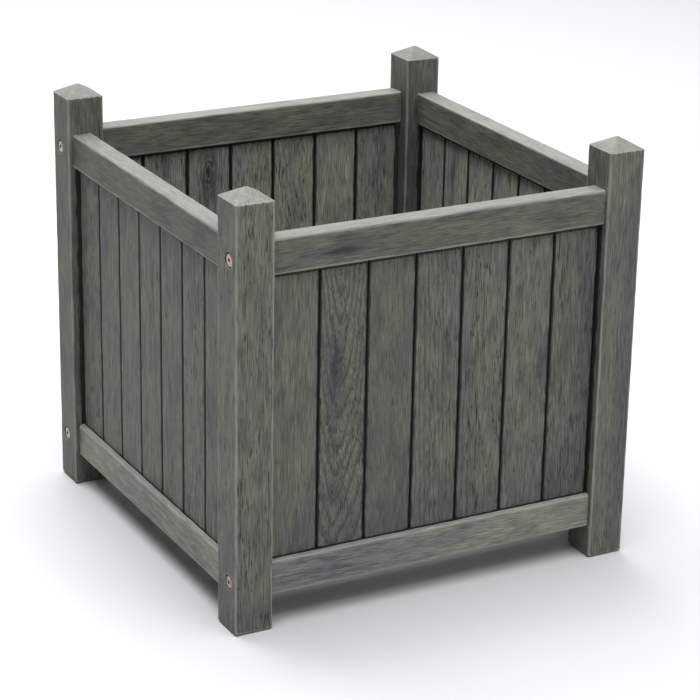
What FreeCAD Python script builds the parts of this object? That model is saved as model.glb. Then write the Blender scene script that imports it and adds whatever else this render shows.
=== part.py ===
import FreeCAD, Part
import math
import os

import Sketcher

# Square hardwood planter box: four posts, eight rails, panels of upright tongue-and-groove
# boards, a slatted floor on two cleats, and knock-down bolts with threaded inserts.
#
# Millimetres, +Z up. The origin is on the ground, at the middle of the planter. The front is
# towards -Y and +X is to the right. The left and right sides are glued frames, posts and
# all; the front and back panels are bolted between them.

# Every driving dimension: (name, value in mm or a count, what it is).
SIZES = (
    # Overall
    ("planter_width", 500.0, "outside of the posts, left to right"),
    ("planter_depth", 500.0, "outside of the posts, front to back"),
    ("planter_height", 500.0, "ground to the tips of the posts"),
    # Posts
    ("post_size", 45.0, "side of the square section"),
    ("post_cap_rise", 12.0, "height of the pyramid top"),
    ("post_cap_tip", 3.0, "side of the small worn flat at the tip"),
    ("post_edge_radius", 1.6, "rounding of the upright edges"),
    ("foot_chamfer", 2.0, "bevel round the foot"),
    # Rails
    ("rail_height", 40.0, "height of every rail"),
    ("rail_thickness", 24.0, "thickness of every rail"),
    ("rail_setback", 6.0, "rail face behind the post face"),
    ("rail_edge_radius", 2.0, "rounding of the long edges"),
    ("ground_clearance", 38.0, "ground to the underside of the bottom rails"),
    ("top_rail_drop", 43.0, "eaves of the posts down to the top rails"),
    # Mortise and tenon joints of the side frames
    ("tenon_thickness", 8.0, "thickness of a tenon"),
    ("tenon_height", 22.0, "height of a tenon"),
    ("tenon_bolt_wall", 4.5, "wood between the end of a mortise and a bolt hole"),
    ("tenon_gap", 0.2, "glue gap round a tenon"),
    ("tenon_end_gap", 1.0, "gap beyond the end of a tenon"),
    # Boards
    ("board_thickness", 10.0, "thickness of a board"),
    ("board_joint_gap", 1.5, "open joint between two boards"),
    ("board_end_gap", 2.0, "gap between the outer boards and the posts"),
    ("board_edge_bevel", 1.0, "bevel of the edges along a joint"),
    ("board_groove_depth", 8.0, "depth of the groove in the rails"),
    ("board_groove_gap", 0.2, "gap each side of a board in the groove"),
    ("board_top_gap", 1.0, "gap above a board, inside the top rail"),
    ("tongue_thickness", 3.4, "thickness of a tongue"),
    ("tongue_length", 5.5, "how far a tongue stands out"),
    ("tongue_gap", 0.2, "gap each side of a tongue in its groove"),
    ("tongue_end_gap", 1.0, "gap beyond the end of a tongue"),
    # Joint bolts
    ("bolt_radius", 3.0, "radius of the shank"),
    ("bolt_hole_gap", 0.5, "gap round the shank in the wood"),
    ("bolt_head_radius", 7.5, "radius of the flat head"),
    ("bolt_head_thickness", 2.2, "thickness of the flat head"),
    ("bolt_head_bevel", 0.6, "bevel round the head"),
    ("bolt_seat_radius", 8.6, "radius of the seat bored for the head"),
    ("bolt_seat_depth", 3.0, "depth of that seat"),
    ("bolt_grip", 18.0, "how far the shank enters the end of the rail"),
    ("bolt_tip_bevel", 1.0, "bevel at the end of the shank"),
    ("socket_flats", 4.0, "hexagon socket, across flats"),
    ("socket_depth", 3.2, "depth of the hexagon socket"),
    # Threaded inserts in the ends of the front and back rails
    ("insert_wall", 1.95, "wall of an insert, round its threaded hole"),
    ("insert_length", 20.0, "length of an insert"),
    ("insert_sink", 1.0, "insert below the end of the rail"),
    ("insert_gap", 0.05, "gap round an insert"),
    ("insert_end_gap", 1.0, "hole beyond an insert"),
    ("insert_thread_gap", 0.05, "gap round the shank in an insert"),
    ("insert_end_bevel", 0.6, "bevel at both ends of an insert"),
    ("insert_socket_flats", 6.6, "driving hexagon of an insert, across flats"),
    ("insert_socket_depth", 4.0, "depth of that hexagon"),
    # Locating dowels
    ("dowel_radius", 3.0, "radius of a dowel"),
    ("dowel_length", 30.0, "length of a dowel"),
    ("dowel_offset", 12.0, "dowel from the bolt, away from the boards"),
    ("dowel_gap", 0.05, "gap round a dowel"),
    ("dowel_end_gap", 0.5, "gap beyond each end of a dowel"),
    ("dowel_end_bevel", 0.6, "bevel at both ends of a dowel"),
    # Floor
    ("slat_thickness", 12.0, "thickness of a floor slat"),
    ("slat_gap", 9.0, "drainage gap between two slats"),
    ("slat_edge_radius", 1.2, "rounding of the long edges"),
    ("floor_edge_gap", 3.0, "gap between the floor and the rails"),
    ("post_notch_gap", 2.0, "gap between the outer slats and the posts"),
    ("cleat_size", 20.0, "side of the square section of a cleat"),
    ("cleat_drop", 18.0, "top of the side rails down to the cleats"),
    ("cleat_end_gap", 1.0, "gap between a cleat and the posts"),
    # Wood screws
    ("screw_radius", 2.0, "radius of the shank"),
    ("screw_gap", 0.05, "gap round the shank"),
    ("screw_head_radius", 4.0, "radius of the countersunk head"),
    ("screw_head_sink", 0.4, "head below the surface"),
    ("screw_tip_length", 3.0, "length of the point"),
    ("screw_end_gap", 1.0, "hole beyond the point"),
    ("screw_tip_radius", 0.3, "radius of the blunt point"),
    ("slat_screw_length", 25.0, "screws that hold the slats"),
    ("cleat_screw_length", 35.0, "screws that hold the cleats"),
    ("recess_width", 1.0, "width of the cross recess"),
    ("recess_length", 4.4, "length of the cross recess"),
    ("recess_depth", 1.8, "depth of the cross recess"),
)

BOARDS_PER_SIDE = 7
FLOOR_SLATS = 7

# Where the screws of a cleat are, in slat pitches from its middle: each under a gap.
CLEAT_SCREW_PLACES = (-2.5, -0.5, 0.5, 2.5)

# Names for directions, used as factors in the expressions below.
LEFT, RIGHT = -1, 1
FRONT, BACK = -1, 1
BELOW, ABOVE = -1, 1

# The sides of the planter: its name, how far its pieces turn about +Z, the direction that
# its length runs in, and the direction that it faces. A piece is drawn as a piece of the
# front, with its length along +X and the inside of the planter towards +Y.
SIDES = (
    ("front", 0, (1, 0), (0, -1)),
    ("right", 90, (0, 1), (1, 0)),
    ("back", 180, (-1, 0), (0, 1)),
    ("left", -90, (0, -1), (-1, 0)),
)

# Lengths that several pieces share, as expressions of the sheet's cells.
EAVES = "(sizes.planter_height - sizes.post_cap_rise)"
RAIL_MIDDLE = "(sizes.rail_setback + sizes.rail_thickness / 2)"
RAIL_BACK = "(sizes.rail_setback + sizes.rail_thickness)"
RAIL_OFF_POST_MIDDLE = f"(sizes.post_size / 2 - {RAIL_MIDDLE})"
BOTTOM_RAIL_LEVEL = "(sizes.ground_clearance + sizes.rail_height / 2)"
TOP_RAIL_LEVEL = f"({EAVES} - sizes.top_rail_drop - sizes.rail_height / 2)"
RAIL_LEVELS = (("bottom", BOTTOM_RAIL_LEVEL, ABOVE), ("top", TOP_RAIL_LEVEL, BELOW))
BOARD_FOOT = "(sizes.ground_clearance + sizes.rail_height - sizes.board_groove_depth)"
BOARD_LENGTH = (
    f"({TOP_RAIL_LEVEL} - sizes.rail_height / 2 + sizes.board_groove_depth"
    f" - sizes.board_top_gap - {BOARD_FOOT})"
)
TENON_LENGTH = (
    f"(sizes.post_size - {RAIL_MIDDLE} - sizes.bolt_radius - sizes.bolt_hole_gap"
    " - sizes.tenon_bolt_wall - sizes.tenon_end_gap)"
)
BOLT_LENGTH = "(sizes.post_size - sizes.bolt_seat_depth + sizes.bolt_grip)"
INSERT_HOLE_RADIUS = "(sizes.bolt_radius + sizes.insert_thread_gap)"
INSERT_RADIUS = f"({INSERT_HOLE_RADIUS} + sizes.insert_wall)"
CLEAT_TOP = "(sizes.ground_clearance + sizes.rail_height - sizes.cleat_drop)"
CLEAT_MIDDLE_X = f"(sizes.planter_width / 2 - {RAIL_BACK} - sizes.cleat_size / 2)"
SLAT_WIDTH = (
    f"((sizes.planter_depth - 2 * {RAIL_BACK} - 2 * sizes.floor_edge_gap"
    f" - {FLOOR_SLATS - 1} * sizes.slat_gap) / {FLOOR_SLATS})"
)
SLAT_PITCH = f"({SLAT_WIDTH} + sizes.slat_gap)"
SLAT_LENGTH = f"(sizes.planter_width - 2 * {RAIL_BACK} - 2 * sizes.floor_edge_gap)"
POST_NOTCH = (
    f"(sizes.post_size - {RAIL_BACK} - sizes.floor_edge_gap + sizes.post_notch_gap)"
)

document = FreeCAD.newDocument("planter_box")
kept_pieces = []


def make_sheet():
    """Write every driving dimension into a sheet, one row each, named by its alias."""
    sheet = document.addObject("Spreadsheet::Sheet", "sizes")
    for row, (name, value, meaning) in enumerate(SIZES, start=1):
        sheet.set(f"A{row}", name)
        sheet.set(f"B{row}", str(value))
        sheet.setAlias(f"B{row}", name)
        sheet.set(f"C{row}", meaning)
    document.recompute()
    return sheet


def clear_span(side_name):
    """The clear length between the two posts of a side."""
    overall = "planter_width" if side_name in ("front", "back") else "planter_depth"
    return f"(sizes.{overall} - 2 * sizes.post_size)"


def out_from_middle(side_name):
    """From the middle of the planter out to the middle of a side's rails and boards."""
    overall = "planter_depth" if side_name in ("front", "back") else "planter_width"
    return f"(sizes.{overall} / 2 - {RAIL_MIDDLE})"


def new_body(label):
    """Start a piece that is built from sketches."""
    body = document.addObject("PartDesign::Body", label)
    body.Label = label
    return body


def place(piece, x_place, y_place, z_place, turn=0):
    """Turn a piece about +Z and bind its three coordinates to expressions."""
    piece.Placement = FreeCAD.Placement(
        FreeCAD.Vector(), FreeCAD.Rotation(FreeCAD.Vector(0, 0, 1), turn)
    )
    for axis, place_on_axis in zip("xyz", (x_place, y_place, z_place)):
        piece.setExpression(f"Placement.Base.{axis}", place_on_axis)


def place_on_side(piece, side, along, level):
    """Place a piece on a side: so far along it, and so high."""
    side_name, turn, length_way, facing_way = side
    out = out_from_middle(side_name)
    x_place = f"{length_way[0]} * ({along}) + {facing_way[0]} * {out}"
    y_place = f"{length_way[1]} * ({along}) + {facing_way[1]} * {out}"
    place(piece, x_place, y_place, level, turn)


def new_sketch(body, label, plane_role, offset="0"):
    """Lay a sketch on one of the body's own planes, moved along the plane's normal."""
    planes = body.Origin.OriginFeatures
    plane = next(feature for feature in planes if feature.Role == plane_role)
    sketch = body.newObject("Sketcher::SketchObject", label)
    sketch.AttachmentSupport = (plane, [""])
    sketch.MapMode = "FlatFace"
    sketch.setExpression("AttachmentOffset.Base.z", offset)
    return sketch


def bind_point(sketch, shape_index, point_index, x_place, y_place):
    """Hold one point of a sketch at a bound distance from the sketch's origin."""
    for kind, distance in (("DistanceX", x_place), ("DistanceY", y_place)):
        start = float(sketch.evalExpression(distance))
        constraint = Sketcher.Constraint(kind, -1, 1, shape_index, point_index, start)
        number = sketch.addConstraint(constraint)
        sketch.setExpression(f"Constraints[{number}]", distance)


def draw_outline(sketch, corners):
    """Draw a closed outline of straight lines through corners given as expressions."""
    first = sketch.GeometryCount
    points = [
        FreeCAD.Vector(sketch.evalExpression(x_place), sketch.evalExpression(y_place), 0)
        for x_place, y_place in corners
    ]
    for index, point in enumerate(points):
        next_point = points[(index + 1) % len(points)]
        sketch.addGeometry(Part.LineSegment(point, next_point), False)
    for index, (x_place, y_place) in enumerate(corners):
        following = first + (index + 1) % len(corners)
        sketch.addConstraint(Sketcher.Constraint("Coincident", first + index, 2, following, 1))
        bind_point(sketch, first + index, 1, x_place, y_place)


def draw_rectangle(sketch, width, height, x_middle="0", y_middle="0"):
    """Draw a rectangle of a bound width and height round a bound middle."""
    left, right = (f"{x_middle} - {width} / 2", f"{x_middle} + {width} / 2")
    low, high = (f"{y_middle} - {height} / 2", f"{y_middle} + {height} / 2")
    draw_outline(sketch, ((left, low), (right, low), (right, high), (left, high)))


def draw_circle(sketch, radius, x_middle="0", y_middle="0"):
    """Draw a circle of a bound radius round a bound middle."""
    middle = FreeCAD.Vector(
        sketch.evalExpression(x_middle), sketch.evalExpression(y_middle), 0
    )
    start_radius = float(sketch.evalExpression(radius))
    index = sketch.addGeometry(
        Part.Circle(middle, FreeCAD.Vector(0, 0, 1), start_radius), False
    )
    number = sketch.addConstraint(Sketcher.Constraint("Radius", index, start_radius))
    sketch.setExpression(f"Constraints[{number}]", radius)
    bind_point(sketch, index, 3, x_middle, y_middle)


def draw_hexagon(sketch, flats):
    """Draw a regular hexagon round the sketch's origin, of a bound size across flats."""
    corners = [math.radians(60 * number + 30) for number in range(6)]
    reach = 1 / math.cos(math.pi / 6)
    draw_outline(sketch, [
        (f"{reach * math.cos(corner):.9f} * {flats} / 2",
         f"{reach * math.sin(corner):.9f} * {flats} / 2")
        for corner in corners
    ])


def pad(body, sketch, label, length, both_ways=False):
    """Add material from a sketch, towards the sketch's normal or half each way."""
    feature = body.newObject("PartDesign::Pad", label)
    feature.Profile = sketch
    feature.SideType = "Symmetric" if both_ways else "One side"
    feature.setExpression("Length", length)
    document.recompute()
    return feature


def pocket(body, sketch, label, depth, reverse=False, both_ways=False):
    """Cut material away behind a sketch, or in front of it if reversed, or half each way."""
    volume_before = body.Shape.Volume
    feature = body.newObject("PartDesign::Pocket", label)
    feature.Profile = sketch
    feature.Reversed = reverse
    feature.SideType = "Symmetric" if both_ways else "One side"
    feature.setExpression("Length", depth)
    document.recompute()
    if body.Shape.Volume >= volume_before:
        raise RuntimeError(f"{label} of {body.Label} cuts nothing")
    return feature


def dress_edges(body, kind, label, size_name, size, chosen):
    """Round or bevel the edges of the body's last feature that the test picks."""
    base = body.Tip
    names = [
        f"Edge{number}"
        for number, edge in enumerate(base.Shape.Edges, start=1)
        if chosen(edge)
    ]
    feature = body.newObject(f"PartDesign::{kind}", label)
    feature.Base = (base, names)
    feature.setExpression(size_name, size)
    document.recompute()
    return feature


def runs_along(edge, axis):
    """Whether a straight edge runs along one axis (0, 1 or 2)."""
    if not isinstance(edge.Curve, Part.Line):
        return False
    return abs(abs(edge.Curve.Direction[axis]) - 1) < 1e-6


def mirror_features(body, features, plane_role):
    """Repeat cuts on the far side of one of the body's own planes."""
    planes = body.Origin.OriginFeatures
    plane = next(feature for feature in planes if feature.Role == plane_role)
    mirrored = body.newObject("PartDesign::Mirrored", "far_end")
    mirrored.Originals = features
    mirrored.MirrorPlane = (plane, [""])
    body.Tip = mirrored
    document.recompute()


def keep(piece):
    """Count a finished piece among those that are written out."""
    kept_pieces.append(piece)
    return piece


def make_post(depth_name, y_way, width_name, x_way):
    """A corner post, drawn round its own axis, with its outer faces towards x_way and y_way.

    It has a mortise for each tenon of the side rails, and for each rail of the front or
    back panel a bolt hole right through, a seat for the bolt's head and a dowel hole.
    """
    body = new_body(f"post_{depth_name}_{width_name}")

    foot = new_sketch(body, "foot_outline", "XY_Plane")
    draw_rectangle(foot, "sizes.post_size", "sizes.post_size")
    pad(body, foot, "shaft", EAVES)
    eaves = new_sketch(body, "eaves_outline", "XY_Plane", EAVES)
    draw_rectangle(eaves, "sizes.post_size", "sizes.post_size")
    tip = new_sketch(body, "tip_outline", "XY_Plane", "sizes.planter_height")
    draw_rectangle(tip, "sizes.post_cap_tip", "sizes.post_cap_tip")
    cap = body.newObject("PartDesign::AdditiveLoft", "cap")
    cap.Profile = eaves
    cap.Sections = [tip]
    cap.Ruled = True
    document.recompute()

    dress_edges(body, "Chamfer", "foot_bevel", "Size", "sizes.foot_chamfer",
                lambda edge: all(abs(vertex.Z) < 1e-6 for vertex in edge.Vertexes))
    dress_edges(body, "Fillet", "worn_edges", "Radius", "sizes.post_edge_radius",
                lambda edge: runs_along(edge, 2))

    for level_name, level, boards_way in RAIL_LEVELS:
        mortise = new_sketch(body, f"{level_name}_mortise_outline", "XZ_Plane",
                             f"{y_way} * sizes.post_size / 2")
        draw_rectangle(mortise, "(sizes.tenon_thickness + 2 * sizes.tenon_gap)",
                       "(sizes.tenon_height + 2 * sizes.tenon_gap)",
                       f"{x_way} * {RAIL_OFF_POST_MIDDLE}", level)
        pocket(body, mortise, f"{level_name}_mortise",
               f"{TENON_LENGTH} + sizes.tenon_end_gap", reverse=y_way < 0)

        rail_line = f"{y_way} * {RAIL_OFF_POST_MIDDLE}"
        shank_hole = new_sketch(body, f"{level_name}_bolt_outline", "YZ_Plane")
        draw_circle(shank_hole, "sizes.bolt_radius + sizes.bolt_hole_gap", rail_line, level)
        pocket(body, shank_hole, f"{level_name}_bolt_hole", "2 * sizes.post_size",
               both_ways=True)

        seat = new_sketch(body, f"{level_name}_seat_outline", "YZ_Plane",
                          f"{x_way} * sizes.post_size / 2")
        draw_circle(seat, "sizes.bolt_seat_radius", rail_line, level)
        pocket(body, seat, f"{level_name}_bolt_seat", "sizes.bolt_seat_depth",
               reverse=x_way < 0)

        dowel_hole = new_sketch(body, f"{level_name}_dowel_outline", "YZ_Plane",
                                f"{-x_way} * sizes.post_size / 2")
        draw_circle(dowel_hole, "sizes.dowel_radius + sizes.dowel_gap", rail_line,
                    f"{level} + {-boards_way} * sizes.dowel_offset")
        pocket(body, dowel_hole, f"{level_name}_dowel_hole",
               "sizes.dowel_length / 2 + sizes.dowel_end_gap", reverse=x_way > 0)

    place(body, f"{x_way} * (sizes.planter_width - sizes.post_size) / 2",
          f"{y_way} * (sizes.planter_depth - sizes.post_size) / 2", "0")
    return keep(body)


def make_rail(side, level_name, level, boards_way):
    """A rail, drawn round its own middle, with the groove for the boards towards boards_way.

    The rails of the side frames have a tenon at each end. The rails of the front and back
    panels have plain ends, bored for a threaded insert and a dowel.
    """
    side_name = side[0]
    body = new_body(f"{level_name}_rail_{side_name}")
    span = clear_span(side_name)

    blank = new_sketch(body, "rail_section", "YZ_Plane")
    draw_rectangle(blank, "sizes.rail_thickness", "sizes.rail_height")
    pad(body, blank, "blank", span, both_ways=True)
    dress_edges(body, "Fillet", "eased_edges", "Radius", "sizes.rail_edge_radius",
                lambda edge: runs_along(edge, 0))

    if side_name in ("left", "right"):
        tenon = new_sketch(body, "tenon_section", "YZ_Plane")
        draw_rectangle(tenon, "sizes.tenon_thickness", "sizes.tenon_height")
        pad(body, tenon, "tenons", f"{span} + 2 * {TENON_LENGTH}", both_ways=True)
    else:
        bore_rail_ends(body, span, boards_way)

    groove = new_sketch(body, "groove_section", "YZ_Plane")
    draw_rectangle(
        groove, "(sizes.board_thickness + 2 * sizes.board_groove_gap)",
        "(2 * sizes.board_groove_depth)", "0", f"{boards_way} * sizes.rail_height / 2"
    )
    pocket(body, groove, "board_groove", span, both_ways=True)
    if side_name in ("left", "right") and level_name == "bottom":
        bore_for_cleat_screws(body)

    place_on_side(body, side, "0", level)
    return keep(body)


def bore_rail_ends(body, span, boards_way):
    """Bore both ends of a rail for a threaded insert and a dowel."""
    end = f"{span} / 2"
    insert_outline = new_sketch(body, "insert_outline", "YZ_Plane", end)
    draw_circle(insert_outline, f"{INSERT_RADIUS} + sizes.insert_gap")
    insert_hole = pocket(body, insert_outline, "insert_hole",
                         "sizes.insert_sink + sizes.insert_length + sizes.insert_end_gap")

    dowel_outline = new_sketch(body, "dowel_outline", "YZ_Plane", end)
    draw_circle(dowel_outline, "sizes.dowel_radius + sizes.dowel_gap", "0",
                f"{-boards_way} * sizes.dowel_offset")
    dowel_hole = pocket(body, dowel_outline, "dowel_hole",
                        "sizes.dowel_length / 2 + sizes.dowel_end_gap")
    mirror_features(body, [insert_hole, dowel_hole], "YZ_Plane")


def bore_for_cleat_screws(body):
    """Bore the inner face of a side's bottom rail for the screws of its cleat."""
    outline = new_sketch(body, "cleat_screw_outline", "XZ_Plane", "-sizes.rail_thickness / 2")
    for pitches in CLEAT_SCREW_PLACES:
        draw_circle(outline, "sizes.screw_radius + sizes.screw_gap",
                    f"{pitches} * {SLAT_PITCH}",
                    f"{CLEAT_TOP} - sizes.cleat_size / 2 - {BOTTOM_RAIL_LEVEL}")
    pocket(body, outline, "cleat_screw_holes",
           "sizes.cleat_screw_length + sizes.screw_head_sink + sizes.screw_end_gap"
           " - sizes.cleat_size", reverse=True)


def make_board(side, number):
    """An upright board, with a groove in its left edge and a tongue on its right edge.

    The first board has no groove and the last has no tongue, as both stand next to a post.
    """
    side_name = side[0]
    body = new_body(f"board_{side_name}_{number}")
    width = (
        f"(({clear_span(side_name)} - 2 * sizes.board_end_gap"
        f" - {BOARDS_PER_SIDE - 1} * sizes.board_joint_gap) / {BOARDS_PER_SIDE})"
    )
    edge = f"{width} / 2"
    face = "sizes.board_thickness / 2"
    bevel = "sizes.board_edge_bevel"
    tongue = "sizes.tongue_thickness / 2"
    groove = "(sizes.tongue_thickness / 2 + sizes.tongue_gap)"
    groove_depth = "(sizes.tongue_length - sizes.board_joint_gap + sizes.tongue_end_gap)"

    right_edge = [(edge, f"{bevel} - {face}")]
    if number < BOARDS_PER_SIDE:
        right_edge += [
            (edge, f"-{tongue}"),
            (f"{edge} + sizes.tongue_length", f"-{tongue}"),
            (f"{edge} + sizes.tongue_length", tongue),
            (edge, tongue),
        ]
    right_edge += [(edge, f"{face} - {bevel}")]
    left_edge = [(f"-{edge}", f"{face} - {bevel}")]
    if number > 1:
        left_edge += [
            (f"-{edge}", groove),
            (f"{groove_depth} - {edge}", groove),
            (f"{groove_depth} - {edge}", f"-{groove}"),
            (f"-{edge}", f"-{groove}"),
        ]
    left_edge += [(f"-{edge}", f"{bevel} - {face}")]

    section = new_sketch(body, "board_section", "XY_Plane")
    draw_outline(section, [(f"{bevel} - {edge}", f"-{face}"), (f"{edge} - {bevel}", f"-{face}")]
                 + right_edge
                 + [(f"{edge} - {bevel}", face), (f"{bevel} - {edge}", face)]
                 + left_edge)
    pad(body, section, "board", BOARD_LENGTH)

    from_middle = number - (BOARDS_PER_SIDE + 1) / 2
    place_on_side(body, side, f"{from_middle} * ({width} + sizes.board_joint_gap)", BOARD_FOOT)
    return keep(body)


def slat_middle(number):
    """Where the middle of a floor slat is, from the middle of the floor."""
    return f"({number - (FLOOR_SLATS + 1) / 2} * {SLAT_PITCH})"


def slat_screw_line(number):
    """Where a slat's screws are, from its own middle: midway over what rests on a cleat."""
    if number == 1:
        return f"({POST_NOTCH} / 2)"
    if number == FLOOR_SLATS:
        return f"(-{POST_NOTCH} / 2)"
    return "0"


def make_slat(number):
    """A floor slat, screwed down at both ends. The outer two are notched round the posts."""
    body = new_body(f"floor_slat_{number}")
    end = f"{SLAT_LENGTH} / 2"
    edge = f"{SLAT_WIDTH} / 2"
    outline = new_sketch(body, "slat_outline", "XY_Plane")
    if number in (1, FLOOR_SLATS):
        outward = FRONT if number == 1 else BACK
        outer = f"{outward} * {edge}"
        notch = f"{outward} * ({edge} - {POST_NOTCH})"
        draw_outline(outline, (
            (f"-{end}", f"{-outward} * {edge}"),
            (end, f"{-outward} * {edge}"),
            (end, notch),
            (f"{end} - {POST_NOTCH}", notch),
            (f"{end} - {POST_NOTCH}", outer),
            (f"{POST_NOTCH} - {end}", outer),
            (f"{POST_NOTCH} - {end}", notch),
            (f"-{end}", notch),
        ))
    else:
        draw_rectangle(outline, SLAT_LENGTH, SLAT_WIDTH)
    pad(body, outline, "slat", "sizes.slat_thickness")
    dress_edges(body, "Fillet", "eased_edges", "Radius", "sizes.slat_edge_radius",
                lambda line: runs_along(line, 0))

    screws = new_sketch(body, "screw_places", "XY_Plane", "sizes.slat_thickness")
    for way in (LEFT, RIGHT):
        draw_circle(screws, "sizes.screw_radius", f"{way} * {CLEAT_MIDDLE_X}",
                    slat_screw_line(number))
    bore_countersunk(body, screws, "screw_holes")
    place(body, "0", slat_middle(number), CLEAT_TOP)
    return keep(body)


def bore_countersunk(body, sketch, label, reverse=False):
    """Bore clearance holes right through, countersunk so that a screw's head sinks in."""
    volume_before = body.Shape.Volume
    hole = body.newObject("PartDesign::Hole", label)
    hole.Profile = sketch
    hole.Reversed = reverse
    hole.DepthType = "ThroughAll"
    hole.HoleCutType = "Countersink"
    hole.HoleCutCustomValues = True
    hole.HoleCutCountersinkAngle = 90
    hole.setExpression("Diameter", "2 * (sizes.screw_radius + sizes.screw_gap)")
    hole.setExpression(
        "HoleCutDiameter",
        "2 * (sizes.screw_head_radius + sizes.screw_head_sink + sizes.screw_gap)",
    )
    document.recompute()
    if body.Shape.Volume >= volume_before:
        raise RuntimeError(f"{label} of {body.Label} cuts nothing")


def make_cleat(side):
    """A cleat along a side's bottom rail, bored for its own screws and the slats' screws."""
    body = new_body(f"floor_cleat_{side[0]}")
    section = new_sketch(body, "cleat_section", "YZ_Plane")
    draw_rectangle(section, "sizes.cleat_size", "sizes.cleat_size")
    pad(body, section, "cleat", f"{clear_span(side[0])} - 2 * sizes.cleat_end_gap",
        both_ways=True)

    slat_screws = new_sketch(body, "slat_screw_places", "XY_Plane", "sizes.cleat_size / 2")
    along_way = side[2][1]
    for number in range(1, FLOOR_SLATS + 1):
        draw_circle(slat_screws, "sizes.screw_radius + sizes.screw_gap",
                    f"{along_way} * ({slat_middle(number)} + {slat_screw_line(number)})")
    pocket(body, slat_screws, "slat_screw_holes",
           "sizes.slat_screw_length + sizes.screw_head_sink + sizes.screw_end_gap"
           " - sizes.slat_thickness")

    own_screws = new_sketch(body, "own_screw_places", "XZ_Plane", "-sizes.cleat_size / 2")
    for pitches in CLEAT_SCREW_PLACES:
        draw_circle(own_screws, "sizes.screw_radius", f"{pitches} * {SLAT_PITCH}")
    bore_countersunk(body, own_screws, "own_screw_holes", reverse=True)

    facing = side[3][0]
    place(body, f"{facing} * {CLEAT_MIDDLE_X}", "0", f"{CLEAT_TOP} - sizes.cleat_size / 2",
          side[1])
    return keep(body)


def revolve(body, label, plane_role, outline, axis_role):
    """Turn an outline, drawn on one of the body's planes, right round one of its axes."""
    sketch = new_sketch(body, f"{label}_section", plane_role)
    draw_outline(sketch, outline)
    axes = body.Origin.OriginFeatures
    axis = next(feature for feature in axes if feature.Role == axis_role)
    feature = body.newObject("PartDesign::Revolution", label)
    feature.Profile = sketch
    feature.ReferenceAxis = (axis, [""])
    feature.Angle = 360
    document.recompute()


def draw_bolt():
    """One joint bolt along +X, with the outer face of its flat head at the origin."""
    body = new_body("joint_bolt_pattern")
    head = "sizes.bolt_head_radius"
    under_head = "sizes.bolt_head_thickness"
    shank = "sizes.bolt_radius"
    end = f"{under_head} + {BOLT_LENGTH}"
    revolve(body, "bolt", "XY_Plane", (
        ("0", "0"),
        ("0", f"{head} - sizes.bolt_head_bevel"),
        ("sizes.bolt_head_bevel", head),
        (under_head, head),
        (under_head, shank),
        (f"{end} - sizes.bolt_tip_bevel", shank),
        (end, f"{shank} - sizes.bolt_tip_bevel"),
        (end, "0"),
    ), "X_Axis")
    socket = new_sketch(body, "socket_outline", "YZ_Plane")
    draw_hexagon(socket, "sizes.socket_flats")
    pocket(body, socket, "socket", "sizes.socket_depth", reverse=True)
    return body


def draw_insert():
    """One threaded insert along X, round its own middle, with its socket in the +X end."""
    body = new_body("threaded_insert_pattern")
    round_section = new_sketch(body, "insert_section", "YZ_Plane")
    draw_circle(round_section, INSERT_RADIUS)
    pad(body, round_section, "insert", "sizes.insert_length", both_ways=True)
    dress_edges(body, "Chamfer", "end_bevels", "Size", "sizes.insert_end_bevel",
                lambda edge: isinstance(edge.Curve, Part.Circle))
    thread = new_sketch(body, "thread_outline", "YZ_Plane")
    draw_circle(thread, INSERT_HOLE_RADIUS)
    pocket(body, thread, "threaded_hole", "2 * sizes.insert_length", both_ways=True)
    socket = new_sketch(body, "socket_outline", "YZ_Plane", "sizes.insert_length / 2")
    draw_hexagon(socket, "sizes.insert_socket_flats")
    pocket(body, socket, "socket", "sizes.insert_socket_depth")
    return body


def draw_dowel():
    """One locating dowel along X, round its own middle."""
    body = new_body("locating_dowel_pattern")
    round_section = new_sketch(body, "dowel_section", "YZ_Plane")
    draw_circle(round_section, "sizes.dowel_radius")
    pad(body, round_section, "dowel", "sizes.dowel_length", both_ways=True)
    dress_edges(body, "Chamfer", "end_bevels", "Size", "sizes.dowel_end_bevel",
                lambda edge: isinstance(edge.Curve, Part.Circle))
    return body


def draw_screw(label, length):
    """One countersunk wood screw, pointing down, with the top of its head at the origin."""
    body = new_body(label)
    head = "sizes.screw_head_radius"
    shank = "sizes.screw_radius"
    revolve(body, "screw", "XZ_Plane", (
        ("0", "0"),
        (head, "0"),
        (shank, f"{shank} - {head}"),
        (shank, f"sizes.screw_tip_length - {length}"),
        ("sizes.screw_tip_radius", f"-{length}"),
        ("0", f"-{length}"),
    ), "Z_Axis")
    recess = new_sketch(body, "recess_outline", "XY_Plane")
    long_half = "sizes.recess_length / 2"
    short_half = "sizes.recess_width / 2"
    draw_outline(recess, (
        (short_half, short_half), (short_half, long_half),
        (f"-{short_half}", long_half), (f"-{short_half}", short_half),
        (f"-{long_half}", short_half), (f"-{long_half}", f"-{short_half}"),
        (f"-{short_half}", f"-{short_half}"), (f"-{short_half}", f"-{long_half}"),
        (short_half, f"-{long_half}"), (short_half, f"-{short_half}"),
        (long_half, f"-{short_half}"), (long_half, short_half),
    ))
    pocket(body, recess, "cross_recess", "sizes.recess_depth")
    return body


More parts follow.
